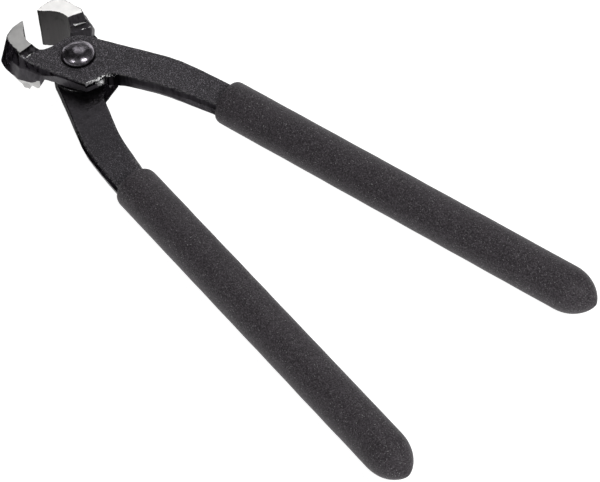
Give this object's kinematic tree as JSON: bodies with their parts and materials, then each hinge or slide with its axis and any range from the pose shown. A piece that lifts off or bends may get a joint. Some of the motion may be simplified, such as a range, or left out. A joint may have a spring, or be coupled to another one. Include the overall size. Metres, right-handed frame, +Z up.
{
  "type": "tile nippers",
  "caption": "Lap-jointed end-cutting nippers with wide hollow-ground jaws, a domed rivet pivot and long dipped grips, for nibbling tile.",
  "frame": {"origin": "on the ground, in the middle of the tool's footprint as it lies on its side with the handles part open", "axes": "+X along the tool from the jaws to the grips, +Z up along the rivet, +Y towards the grip of the upper half"},
  "size_m": [0.2268, 0.1018, 0.0213],
  "materials": {
    "forged_steel": "black oxide on sandblasted forged steel, ground bright on the sides of the jaws",
    "rivet_steel": "polished gunmetal",
    "grip_vinyl": "matte dipped vinyl with a fine sparkling grain"
  },
  "bodies": {
    "upper_half": {"upper_lever": "forged_steel", "pivot_rivet": "rivet_steel", "upper_grip": "grip_vinyl"},
    "lower_half": {"lower_lever": "forged_steel", "lower_grip": "grip_vinyl"}
  },
  "joints": [
    {"name": "jaw_pivot", "type": "hinge", "parent": "upper_half", "child": "lower_half", "pos_m": [-0.08662, 0, 0.0104], "axis": [0, 0, -1], "range_deg": [-14.8, 30]}
  ]
}
